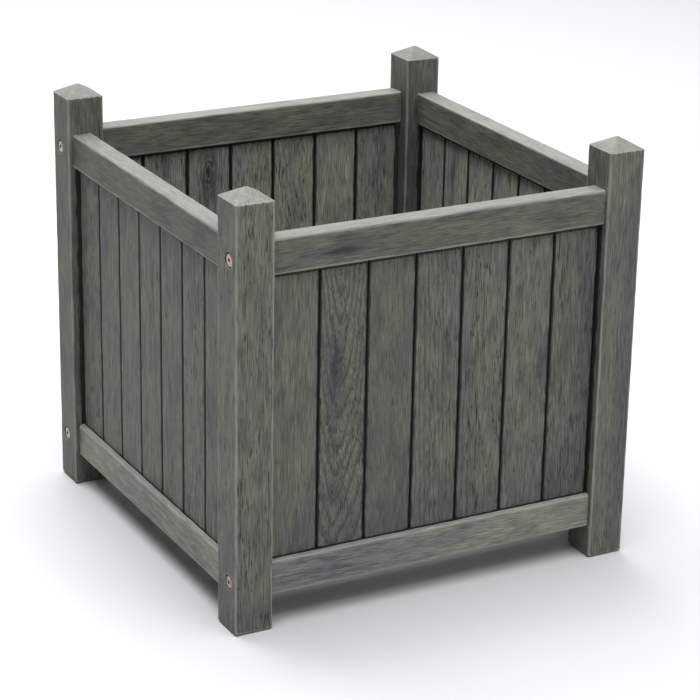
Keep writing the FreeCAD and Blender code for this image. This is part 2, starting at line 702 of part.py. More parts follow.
def repeat(label, pattern, places):
    """Group copies of one fastener; each place is (x, y, z, turn axis, turn in degrees)."""
    copies = []
    for number, (x_place, y_place, z_place, turn_axis, turn) in enumerate(places, start=1):
        copy = document.addObject("App::Link", f"{label}_{number}")
        copy.LinkedObject = pattern
        copy.LinkTransform = False
        copy.Placement = FreeCAD.Placement(
            FreeCAD.Vector(), FreeCAD.Rotation(FreeCAD.Vector(*turn_axis), turn)
        )
        for axis, place_on_axis in zip("xyz", (x_place, y_place, z_place)):
            copy.setExpression(f"Placement.Base.{axis}", place_on_axis)
        copies.append(copy)
    group = document.addObject("Part::Compound", label)
    group.Label = label
    group.Links = copies
    return keep(group)


def fit_joint_hardware():
    """Put a bolt, a threaded insert and a dowel at both ends of each front and back rail."""
    upright = (0, 0, 1)
    head_face = (
        "(sizes.planter_width / 2 - sizes.bolt_seat_depth + sizes.bolt_head_thickness)"
    )
    rail_end = f"({clear_span('front')} / 2)"
    insert_middle = f"({rail_end} - sizes.insert_sink - sizes.insert_length / 2)"
    bolts = []
    inserts = []
    dowels = []
    for y_way in (FRONT, BACK):
        y_place = f"{y_way} * {out_from_middle('front')}"
        for x_way in (LEFT, RIGHT):
            for _, level, boards_way in RAIL_LEVELS:
                dowel_level = f"{level} + {-boards_way} * sizes.dowel_offset"
                bolt_turn = 0 if x_way == LEFT else 180
                bolts.append((f"{x_way} * {head_face}", y_place, level, upright, bolt_turn))
                inserts.append((f"{x_way} * {insert_middle}", y_place, level, upright,
                                180 - bolt_turn))
                dowels.append((f"{x_way} * {rail_end}", y_place, dowel_level, upright, 0))
    repeat("joint_bolts", draw_bolt(), bolts)
    repeat("threaded_inserts", draw_insert(), inserts)
    repeat("locating_dowels", draw_dowel(), dowels)


def fit_floor_screws():
    """Screw the slats down to the cleats, and the cleats to the side rails."""
    level_axis = (0, 1, 0)
    slat_screws = []
    cleat_screws = []
    for x_way in (LEFT, RIGHT):
        for number in range(1, FLOOR_SLATS + 1):
            slat_screws.append((
                f"{x_way} * {CLEAT_MIDDLE_X}",
                f"{slat_middle(number)} + {slat_screw_line(number)}",
                f"{CLEAT_TOP} + sizes.slat_thickness - sizes.screw_head_sink",
                level_axis, 0,
            ))
        for pitches in CLEAT_SCREW_PLACES:
            cleat_screws.append((
                f"{x_way} * ({CLEAT_MIDDLE_X} - sizes.cleat_size / 2 + sizes.screw_head_sink)",
                f"{pitches} * {SLAT_PITCH}",
                f"{CLEAT_TOP} - sizes.cleat_size / 2",
                level_axis, -x_way * 90,
            ))
    repeat("floor_slat_screws", draw_screw("slat_screw_pattern", "sizes.slat_screw_length"),
           slat_screws)
    repeat("cleat_screws", draw_screw("cleat_screw_pattern", "sizes.cleat_screw_length"),
           cleat_screws)


def check_and_write():
    """Stop on any failed feature or bad shape, then write one file for each piece."""
    document.recompute()
    for item in document.Objects:
        if {"Invalid", "Error"} & set(item.State):
            raise RuntimeError(f"{item.Label} failed: {item.State}")
    for piece in kept_pieces:
        if piece.Shape.isNull() or not piece.Shape.isValid():
            raise RuntimeError(f"{piece.Label} has no valid shape")
    os.makedirs("parts", exist_ok=True)
    for piece in kept_pieces:
        piece.Shape.exportStep(f"parts/{piece.Label}.step")
        print(f"{piece.Label}: {len(piece.Shape.Solids)} solid(s),"
              f" {piece.Shape.Volume / 1000:.1f} cm3")


make_sheet()
for depth_name, y_side in (("front", FRONT), ("back", BACK)):
    for width_name, x_side in (("left", LEFT), ("right", RIGHT)):
        make_post(depth_name, y_side, width_name, x_side)
for planter_side in SIDES:
    for rail_name, rail_level, towards_boards in RAIL_LEVELS:
        make_rail(planter_side, rail_name, rail_level, towards_boards)
    for board_number in range(1, BOARDS_PER_SIDE + 1):
        make_board(planter_side, board_number)
for planter_side in SIDES:
    if planter_side[0] in ("left", "right"):
        make_cleat(planter_side)
for slat_number in range(1, FLOOR_SLATS + 1):
    make_slat(slat_number)
fit_joint_hardware()
fit_floor_screws()
check_and_write()
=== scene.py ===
import logging
import math
import random
from dataclasses import dataclass, field
from enum import Enum

import bmesh
import bpy
from mathutils import Euler, Matrix, Vector, noise
from mathutils.kdtree import KDTree


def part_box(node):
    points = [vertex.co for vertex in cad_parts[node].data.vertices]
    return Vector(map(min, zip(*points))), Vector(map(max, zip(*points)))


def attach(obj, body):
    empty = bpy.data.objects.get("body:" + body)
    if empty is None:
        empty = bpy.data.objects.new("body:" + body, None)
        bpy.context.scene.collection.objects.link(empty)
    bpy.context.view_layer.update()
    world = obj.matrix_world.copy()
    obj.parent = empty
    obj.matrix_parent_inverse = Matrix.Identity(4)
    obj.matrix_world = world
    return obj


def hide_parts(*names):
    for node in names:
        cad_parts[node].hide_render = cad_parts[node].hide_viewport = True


# Looks of a square hardwood planter box: grey-washed posts, rails and tongue-and-groove
# boards, a slatted floor, and zinc-plated joint bolts and screws. Metres, +Z up, the front
# towards -Y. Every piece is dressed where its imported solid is.

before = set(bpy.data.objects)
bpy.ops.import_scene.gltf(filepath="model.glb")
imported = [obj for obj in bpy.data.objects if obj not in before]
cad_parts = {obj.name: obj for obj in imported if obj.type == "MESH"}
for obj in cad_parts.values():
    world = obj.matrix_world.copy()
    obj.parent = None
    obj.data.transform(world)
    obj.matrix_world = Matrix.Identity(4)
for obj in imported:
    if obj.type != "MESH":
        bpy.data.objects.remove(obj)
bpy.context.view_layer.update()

LOG = logging.getLogger("planter_box")
MM = 0.001
ROOT = "root"
FAR_AWAY = 10.0
SIDES = ("front", "right", "back", "left")

Material = bpy.types.Material
Node = bpy.types.Node
Socket = bpy.types.NodeSocket
Thing = bpy.types.Object
Tree = bpy.types.NodeTree
Shape = bmesh.types.BMesh

MULTIPLY = {"operation": "MULTIPLY"}
SUBTRACT = {"operation": "SUBTRACT"}
SCALE = {"operation": "SCALE"}
LENGTH = {"operation": "LENGTH"}
SMOOTH = {"interpolation_type": "SMOOTHSTEP"}
# Where most values of a noise lie. A range node takes its value, this, and what to turn it to.
NOISE_RANGE = (0.3, 0.7)
COLOURS = {"data_type": "RGBA"}


class Grain(Enum):
    """The way that a piece's fibres run, as the number of the axis."""

    LEFT_RIGHT = 0
    FRONT_BACK = 1
    UPRIGHT = 2


class Layer(Enum):
    """The names of the attributes that a dressed piece carries for its finish and for the light
    and shade painted on it.
    """

    GRAIN = "grain"
    KNOT = "knot"
    ARRIS = "arris"
    JOINT_AND_SHADE = "joint"
    TONE_AND_LIGHT = "tone"
    FIGURE = "figure"
    STAIN = "stain"
    UPWARD_LIGHT = "upward"


VECTOR_LAYERS = (Layer.GRAIN, Layer.KNOT, Layer.FIGURE)


def linear(hex_colour: str) -> tuple[float, float, float, float]:
    """Turn an sRGB hex colour into the linear colour that shaders take.

    Args:
        hex_colour: Six hex digits after a hash sign.

    Returns:
        Red, green, blue and an alpha of 1.
    """
    parts = [int(hex_colour[start:start + 2], 16) / 255 for start in (1, 3, 5)]
    red, green, blue = (
        part / 12.92 if part <= 0.04045 else ((part + 0.055) / 1.055) ** 2.4 for part in parts
    )
    return red, green, blue, 1.0


def feed(node: Node, inputs: dict | list) -> None:
    """Give a node's inputs their values and links.

    Args:
        node: The node.
        inputs: For each input, in order or by name, a value or the socket that feeds it.
    """
    for key, value in inputs.items() if isinstance(inputs, dict) else enumerate(inputs):
        if isinstance(value, Socket):
            node.id_data.links.new(value, node.inputs[key])
        else:
            node.inputs[key].default_value = value


def add_node(
    tree: Tree, kind: str, settings: dict, inputs: dict | list, output: str | int = 0
) -> Socket | None:
    """Add a node with its settings, values and links.

    Args:
        tree: The node tree to add to.
        kind: The node's type, without its "ShaderNode" prefix.
        settings: Properties of the node, by name.
        inputs: For each input, in order or by name, a value or the socket that feeds it.
        output: The name or number of the output that is wanted.

    Returns:
        That output, or None if the node has none.
    """
    node = tree.nodes.new(f"ShaderNode{kind}")
    for name, value in settings.items():
        setattr(node, name, value)
    feed(node, inputs)
    return node.outputs[output] if node.outputs else None


def new_material(name: str, base_hex: str) -> tuple[Material, Node]:
    """Start a material with a shader that nothing feeds yet.

    Args:
        name: The material's name.
        base_hex: The colour that plain viewers show, as sRGB hex.

    Returns:
        The material and its shader node.
    """
    material = bpy.data.materials.new(name)
    material.use_nodes = True
    material.diffuse_color = linear(base_hex)
    tree = material.node_tree
    tree.nodes.clear()
    surface = add_node(tree, "BsdfPrincipled", {}, {"Base Color": linear(base_hex)})
    add_node(tree, "OutputMaterial", {}, {"Surface": surface})
    return material, surface.node


def link_object(name: str, data: bpy.types.ID) -> Thing:
    """Put new data into the scene as an object at the origin.

    Args:
        name: The object's name.
        data: Its mesh, light or camera.

    Returns:
        The object.
    """
    thing = bpy.data.objects.new(name, data)
    bpy.context.scene.collection.objects.link(thing)
    return thing


def hand_over(
    shape: Shape, mesh: bpy.types.Mesh, sharp_degrees: float, node: str
) -> Thing:
    """Smooth a shape except at its sharp edges, and put it in the frame as a finished piece.

    Args:
        shape: The shape, which is used up.
        mesh: The mesh that takes it, named as the piece.
        sharp_degrees: Edges that turn by this much or more stay sharp.
        node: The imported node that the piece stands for.

    Returns:
        The finished piece.
    """
    for face in shape.faces:
        face.smooth = True
    for edge in shape.edges:
        edge.smooth = edge.calc_face_angle(0.0) < math.radians(sharp_degrees)
    shape.to_mesh(mesh)
    shape.free()
    piece = link_object(mesh.name, mesh)
    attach(piece, ROOT)
    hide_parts(node)
    LOG.info("%s: %d faces", piece.name, len(mesh.polygons))
    return piece


def unit(axis: int) -> Vector:
    """Make the vector of length 1 along an axis.

    Args:
        axis: The number of the axis.

    Returns:
        The vector.
    """
    return Vector((axis == 0, axis == 1, axis == 2))


@dataclass(frozen=True)
class Streaks:
    """Noise drawn out along the fibres, and the soft step that makes patches of it.

    Attributes:
        across_mm: Width of a streak across the fibres.
        along_mm: Length of a streak along the fibres.
        detail: Octaves of the noise.
        offset: Shift that keeps one noise from another, in streaks.
        low: The noise at which a patch starts.
        high: The noise at which it is whole.
        outside: The value outside a patch. Inside, it is 1.
    """

    across_mm: float
    along_mm: float
    detail: float
    offset: float = 0.0
    low: float = 0.0
    high: float = 1.0
    outside: float = 0.0


FIBRES = Streaks(1.0, 22.0, 5.0)
# A real pore is about 0.3 mm wide. It is drawn 1.2 mm wide so that it shows.
PORES = Streaks(1.2, 15.0, 2.0, 3.0, 0.54, 0.63)
PORE_CROWDS = Streaks(11.0, 38.0, 3.0, 7.0, 0.45, 0.57, 0.08)
DARK_STREAKS = Streaks(2.2, 60.0, 4.0, 11.0, 0.53, 0.65)
STREAKY_ZONES = Streaks(18.0, 90.0, 3.0, 17.0, 0.44, 0.60)
COOL_PATCHES = Streaks(17.0, 55.0, 4.0, 23.0, 0.42, 0.66)
GREEN_PATCHES = Streaks(45.0, 110.0, 3.0, 31.0, 0.46, 0.66)
RUBBED_STRETCHES = Streaks(4.0, 45.0, 3.0, 41.0, 0.3, 0.75)
JOINT_DIRT_AND_SHADE = Streaks(2.5, 20.0, 2.0, 53.0)
SOAKED_EDGES = Streaks(7.0, 40.0, 4.0, 61.0)
# The mottle of the painted light on faces that look up.
TOP_LIGHT_MOTTLE = Streaks(5.0, 26.0, 4.0, 71.0, 0.25, 0.65, 0.55)


@dataclass(frozen=True)
class WashedWood:
    """Grey-washed hardwood: planed, stained grey, and rubbed back so that its arrises show.

    The wash lies unevenly, so the ground wanders from olive to a cool violet grey. Growth
    rings, fibres and open pores show through it, the pores as short near-black dashes. All
    patterns lie in the piece's own plank space, whose third axis runs along the fibres.
    """

    name: str
    ground_hex: str
    cool_hex: str
    green_hex: str
    ring_hex: str
    soak_hex: str
    dark_hex: str
    worn_hex: str
    # The light colour painted on faces that look up, as painted top light.
    top_light_hex: str
    slot: str
    # The near-black of the dark board joints, of the painted shadow under the top rail and of
    # the painted shade in the posts' corners.
    joint_and_shade_hex: str = "#161614"
    green_strength: float = 0.45
    soak_strength: float = 0.85
    deep_soak_strength: float = 0.6
    ring_spacing_mm: float = 4.4
    ring_wander: float = 0.014
    ring_strength: float = 0.5
    fibre_span: float = 0.55
    streak_strength: float = 0.6
    knot_strength: float = 0.9
    pore_strength: float = 0.85
    # How strongly the painted top light shows.
    top_light_strength: float = 0.2
    wear_strength: float = 0.5
    wear_reach_mm: float = 1.1
    # How dark, and how far in, the joints, the painted shadow under the top rail and the
    # painted shade in the posts' corners are.
    joint_and_shade_strength: float = 0.92
    joint_and_shade_reach_mm: float = 2.0
    roughness: float = 0.60
    roughness_span: float = 0.08
    noise_roughness: float = 0.6
    shine: float = 0.28

    def build(self) -> Material:
        """Make the material.

        Returns:
            The finished material.
        """
        material, shader = new_material(self.name, self.ground_hex)
        WoodPainter(self, material.node_tree, shader).paint()
        return material


@dataclass
class WoodPainter:
    """Paints one washed-wood material, a coat at a time.

    Attributes:
        look: The finish to paint.
        tree: The material's node tree.
        shader: The shader that the coats feed.
    """

    look: WashedWood
    tree: Tree
    shader: Node

    def __post_init__(self) -> None:
        """Read the layers that a dressed piece carries, and start from the bare ground."""
        self.layers = {
            layer: add_node(
                self.tree, "Attribute", {"attribute_name": layer.value}, {},
                "Vector" if layer in VECTOR_LAYERS else "Fac")
            for layer in Layer
        }
        self.place = self.layers[Layer.GRAIN]
        self.colour = linear(self.look.ground_hex)

    def paint(self) -> None:
        """Lay the wash, the grain and the wear from the ground up, and feed the shader."""
        look = self.look
        fibre = self._noise(FIBRES)
        shares = add_node(self.tree, "SeparateXYZ", {}, {"Vector": self.layers[Layer.FIGURE]})
        patterns = (
            self._rings(),
            self._crowded(PORES, PORE_CROWDS),
            self._crowded(DARK_STREAKS, STREAKY_ZONES),
        )
        rings, pores, streaks = (
            add_node(self.tree, "Math", MULTIPLY, [pattern, share])
            for pattern, share in zip(patterns, shares.node.outputs)
        )
        self._coat(self._patches(COOL_PATCHES), look.cool_hex, 1.0)
        self._coat(self._patches(GREEN_PATCHES), look.green_hex, look.green_strength)
        self._soak_in()
        self._coat(rings, look.ring_hex, look.ring_strength)
        self._shade_fibres(fibre)
        self._coat(streaks, look.dark_hex, look.streak_strength)
        self._coat(self._knot(), look.dark_hex, look.knot_strength)
        self._coat(pores, look.dark_hex, look.pore_strength)
        # Scale by each piece's lightness; the faces that look into the planter and the bottom
        # rails are scaled up as painted light.
        self.colour = add_node(self.tree, "VectorMath", SCALE, {
            0: self.colour, "Scale": self.layers[Layer.TONE_AND_LIGHT],
        })
        self._paint_top_light()
        self._rub_arrises()
        self._darken_joints_and_paint_shade()
        self._surface(fibre, pores, rings)

    def _coat(self, mask: Socket, hex_colour: str, strength: float) -> None:
        """Lay a colour over the colour so far, where a mask says.

        Args:
            mask: Where the new colour goes, from 0 to 1.
            hex_colour: The new colour.
            strength: How much of it shows where the mask is 1.
        """
        share = add_node(self.tree, "Math", MULTIPLY, [mask, strength])
        self.colour = add_node(self.tree, "Mix", COLOURS, {
            "Factor": share, "A": self.colour, "B": linear(hex_colour),
        }, "Result")

    def _noise(self, streaks: Streaks) -> Socket:
        """Noise drawn out along the fibres.

        Args:
            streaks: Its size and detail.

        Returns:
            The noise, from 0 to 1.
        """
        across, along = 1 / (streaks.across_mm * MM), 1 / (streaks.along_mm * MM)
        shift = streaks.offset
        stretched = add_node(self.tree, "Mapping", {}, {
            "Vector": self.place, "Location": (shift, shift * 0.7, shift * 1.3),
            "Scale": (across, across, along),
        })
        return add_node(self.tree, "TexNoise", {}, {
            "Vector": stretched, "Scale": 1.0, "Detail": streaks.detail,
            "Roughness": self.look.noise_roughness,
        })

    def _patches(self, streaks: Streaks) -> Socket:
        """Soft-edged patches drawn out along the fibres.

        Args:
            streaks: The noise and its step.

        Returns:
            1 in a patch, and the streaks' own value outside.
        """
        return add_node(self.tree, "MapRange", SMOOTH, [
            self._noise(streaks), streaks.low, streaks.high, streaks.outside,
        ])

    def _crowded(self, small: Streaks, large: Streaks) -> Socket:
        """Small patches that crowd inside large ones, as open pores and stain streaks do.

        Args:
            small: The small patches.
            large: The large ones.

        Returns:
            1 where both are.
        """
        patches = [self._patches(small), self._patches(large)]
        return add_node(self.tree, "Math", MULTIPLY, patches)

    def _soak_in(self) -> None:
        """Darken to a violet grey where the stain stood and soaked in, in a ragged patch."""
        edge = add_node(self.tree, "Math", {"operation": "ADD"}, [
            self._noise(SOAKED_EDGES), self.layers[Layer.STAIN],
        ])
        for low, high, hex_colour, strength in (
            (0.62, 1.15, self.look.soak_hex, self.look.soak_strength),
            (1.12, 1.48, self.look.dark_hex, self.look.deep_soak_strength),
        ):
            mask = add_node(self.tree, "MapRange", SMOOTH, [edge, low, high])
            self._coat(mask, hex_colour, strength)

    def _rings(self) -> Socket:
        """Growth rings round the heart of the tree, which lies along plank space's third axis.

        Returns:
            1 in the dark late wood of each ring and 0 in the early wood.
        """
        tree, wander = self.tree, self.look.ring_wander
        stretched = add_node(tree, "Mapping", {}, {
            "Vector": self.place, "Scale": (1 / 0.035, 1 / 0.035, 1 / 0.16),
        })
        swing = add_node(tree, "TexNoise", {}, {
            "Vector": stretched, "Scale": 1.0, "Detail": 3.0,
        }, "Color")
        centred = add_node(tree, "VectorMath", SUBTRACT, [swing, (0.5, 0.5, 0.5)])
        swung = add_node(tree, "VectorMath", {"operation": "MULTIPLY_ADD"}, [
            centred, (wander, wander, 0.0), self.place,
        ])
        flat = add_node(tree, "VectorMath", MULTIPLY, [swung, (1.0, 1.0, 0.0)])
        radius = add_node(tree, "VectorMath", LENGTH, [flat], "Value")
        count = add_node(tree, "Math", MULTIPLY, [radius, 1 / (self.look.ring_spacing_mm * MM)])
        part = add_node(tree, "Math", {"operation": "FRACT"}, [count])
        rise = add_node(tree, "MapRange", SMOOTH, [part, 0.35, 0.88])
        fall = add_node(tree, "MapRange", SMOOTH, [part, 0.99, 0.90])
        return add_node(tree, "Math", MULTIPLY, [rise, fall])

    def _shade_fibres(self, fibre: Socket) -> None:
        """Shade the colour along the fibres, lighter on the raised ones.

        Args:
            fibre: The fibre noise.
        """
        span = self.look.fibre_span
        gain = add_node(self.tree, "MapRange", {}, [fibre, *NOISE_RANGE, 1 - span, 1 + span])
        self.colour = add_node(
            self.tree, "VectorMath", SCALE, {0: self.colour, "Scale": gain})

    def _knot(self) -> Socket:
        """A small knot, with dark rings round a dark eye, on the pieces that have one.

        Returns:
            1 in the eye and in the dark rings, and 0 outside.
        """
        tree = self.tree
        squeezed = add_node(tree, "Mapping", {}, {
            "Vector": self.layers[Layer.KNOT], "Scale": (1.0, 0.2, 0.5),
        })
        ragged = add_node(tree, "TexNoise", {}, {
            "Vector": squeezed, "Scale": 260.0, "Detail": 2.0,
        })
        radius = add_node(tree, "VectorMath", LENGTH, [squeezed], "Value")
        uneven = add_node(tree, "Math", {"operation": "MULTIPLY_ADD"}, [ragged, 0.006, radius])
        eye, halo = (
            add_node(tree, "MapRange", SMOOTH, {
                "Value": uneven, "From Min": outer, "From Max": inner, "To Max": strength,
            })
            for outer, inner, strength in ((0.0075, 0.0045, 1.0), (0.020, 0.009, 0.75))
        )
        angle = add_node(tree, "Math", MULTIPLY, [uneven, 2 * math.pi / 0.0042])
        turns = add_node(tree, "Math", {"operation": "SINE"}, [angle])
        rings = add_node(tree, "MapRange", SMOOTH, [turns, -0.1, 0.9])
        shown = add_node(tree, "Math", MULTIPLY, [rings, halo])
        return add_node(tree, "Math", {"operation": "MAXIMUM"}, [eye, shown])

    def _paint_top_light(self) -> None:
        """Paint light on the faces that look up, in an uneven mottle, strongest on the ridges
        of a post's top.
        """
        mask = add_node(self.tree, "Math", MULTIPLY, [
            self._patches(TOP_LIGHT_MOTTLE), self.layers[Layer.UPWARD_LIGHT],
        ])
        self._coat(mask, self.look.top_light_hex, self.look.top_light_strength)

    def _edge_band(self, width: Socket, layer: Layer, outside: float, inside: float) -> Socket:
        """A soft band along an edge.

        Args:
            width: How wide the band is at each place, in metres.
            layer: The layer that says how far the edge is.
            outside: How far outside that width the band starts to show.
            inside: How far inside it the band is whole.

        Returns:
            1 in the band and 0 outside.
        """
        depth = add_node(self.tree, "Math", SUBTRACT, [width, self.layers[layer]])
        return add_node(self.tree, "MapRange", SMOOTH, [depth, -outside, inside])

    def _rub_arrises(self) -> None:
        """Rub the wash off the arrises, more in some places than in others."""
        reach = self.look.wear_reach_mm * MM
        rubbed = self._patches(RUBBED_STRETCHES)
        width = add_node(self.tree, "Math", MULTIPLY, [rubbed, 1.6 * reach])
        band = self._edge_band(width, Layer.ARRIS, 0.5 * reach, 0.6 * reach)
        self._coat(band, self.look.worn_hex, self.look.wear_strength)

    def _darken_joints_and_paint_shade(self) -> None:
        """Darken the board joints, where wash and dirt gather, and a line just above the bottom
        rail; paint the top rail's shadow on the boards below it, and shade in the posts'
        recessed corners.
        """
        reach = self.look.joint_and_shade_reach_mm * MM
        width = add_node(self.tree, "Math", MULTIPLY, [self._noise(JOINT_DIRT_AND_SHADE), 2 * reach])
        band = self._edge_band(width, Layer.JOINT_AND_SHADE, 0.35 * reach, 0.35 * reach)
        self._coat(band, self.look.joint_and_shade_hex, self.look.joint_and_shade_strength)

    def _surface(self, fibre: Socket, pores: Socket, rings: Socket) -> None:
        """Give the surface its satin roughness and its raised fibres and sunken pores.

        Args:
            fibre: The fibre noise.
            pores: The pore mask.
            rings: The ring mask.
        """
        look, span = self.look, self.look.roughness_span
        rough = add_node(self.tree, "MapRange", {}, [
            fibre, *NOISE_RANGE, look.roughness - span, look.roughness + span,
        ])
        height = fibre
        for mask, depth in ((pores, 0.5), (rings, 0.15)):
            sunken = add_node(self.tree, "Math", MULTIPLY, [mask, depth])
            height = add_node(self.tree, "Math", SUBTRACT, [height, sunken])
        bump = add_node(self.tree, "Bump", {}, {
            "Strength": 0.6, "Distance": 0.5 * MM, "Height": height,
        })
        feed(self.shader, {
            "Base Color": self.colour, "Roughness": rough, "Specular IOR Level": look.shine,
            "Normal": bump,
        })


@dataclass(frozen=True)
class TintedFinish:
    """A base colour with soft clouds of other tints, and a fine uneven surface.

    Attributes:
        name: The material's name.
        base_hex: The colour under the tints.
        tints: For each tint, the cloud noise at which it starts and at which it is whole, how
            much of it shows, and its colour.
        clouds: The clouds' size along the three axes, in millimetres, and their octaves.
        scuffs: The same for the uneven surface.
        roughness: How rough the surface is.
        roughness_span: How far the scuffs take it up and down.
        metallic: 1 for a metal, 0 for others.
        bump: How strongly the scuffs stand out, and how high they are in millimetres.
    """

    name: str
    base_hex: str
    tints: tuple[tuple[float, float, float, str], ...]
    clouds: tuple[float, float, float, float]
    scuffs: tuple[float, float, float, float]
    roughness: float
    roughness_span: float
    metallic: float
    bump: tuple[float, float]

    def build(self) -> Material:
        """Make the material.

        Returns:
            The finished material.
        """
        material, shader = new_material(self.name, self.base_hex)
        tree = material.node_tree
        place = add_node(tree, "TexCoord", {}, {}, "Object")
        patterns = []
        for *sizes, detail in (self.clouds, self.scuffs):
            stretched = add_node(tree, "Mapping", {}, {
                "Vector": place, "Scale": [1 / (size * MM) for size in sizes],
            })
            patterns.append(add_node(tree, "TexNoise", {}, {
                "Vector": stretched, "Scale": 1.0, "Detail": detail,
            }))
        clouds, scuffs = patterns
        colour = linear(self.base_hex)
        for start, whole, strength, tint in self.tints:
            mask = add_node(tree, "MapRange", SMOOTH, {
                "Value": clouds, "From Min": start, "From Max": whole, "To Max": strength,
            })
            colour = add_node(tree, "Mix", COLOURS, {
                "Factor": mask, "A": colour, "B": linear(tint),
            }, "Result")
        low, high = self.roughness - self.roughness_span, self.roughness + self.roughness_span
        rough = add_node(tree, "MapRange", {}, [scuffs, *NOISE_RANGE, low, high])
        bump = add_node(tree, "Bump", {}, {
            "Strength": self.bump[0], "Distance": self.bump[1] * MM, "Height": scuffs,
        })
        feed(shader, {
            "Base Color": colour, "Roughness": rough, "Metallic": self.metallic, "Normal": bump,
        })
        return material


def plated_steel(
    name: str, base_hex: str, warm_hex: str, green_hex: str, roughness: float
) -> TintedFinish:
    """Describe zinc-plated steel, passivated in uneven warm and green tints.

    Args:
        name: The material's name.
        base_hex: The colour of the plating.
        warm_hex: Its warm tint.
        green_hex: Its green tint.
        roughness: How rough it is.

    Returns:
        The finish.
    """
    tints = ((0.42, 0.62, 1.0, warm_hex), (0.46, 0.30, 0.6, green_hex))
    return TintedFinish(
        name, base_hex, tints, (5.0, 5.0, 5.0, 2.0), (0.8, 0.8, 0.8, 3.0), roughness, 0.1, 1.0,
        (0.25, 0.1))


@dataclass
class Cut:
    """How one piece was sawn from the log, and how it has moved since.

    Attributes:
        heart_mm: Where the heart of the tree is from the piece's middle: across and through.
        slope: How much the fibres lean off the piece's length, across and through.
        along_mm: Shift along the fibres, so that no two pieces show the same stretch.
        tone: How light the piece is, beside the others; for the bottom rails it includes
            painted light.
        cup_mm: How far the face has cupped.
        knot_mm: Where the middle of a knot is from the piece's middle, or None.
        figure: How clearly its growth rings, its pores and its dark streaks show.
        soaked: Patches where the stain soaked in: across and along from the piece's middle,
            half length, half width, and strength.
    """

    heart_mm: tuple[float, float]
    slope: tuple[float, float]
    along_mm: float
    tone: float
    cup_mm: float = 0.0
    knot_mm: tuple[float, float] | None = None
    figure: tuple[float, float, float] = (0.3, 0.6, 0.6)
    soaked: tuple[tuple[float, float, float, float, float], ...] = ()


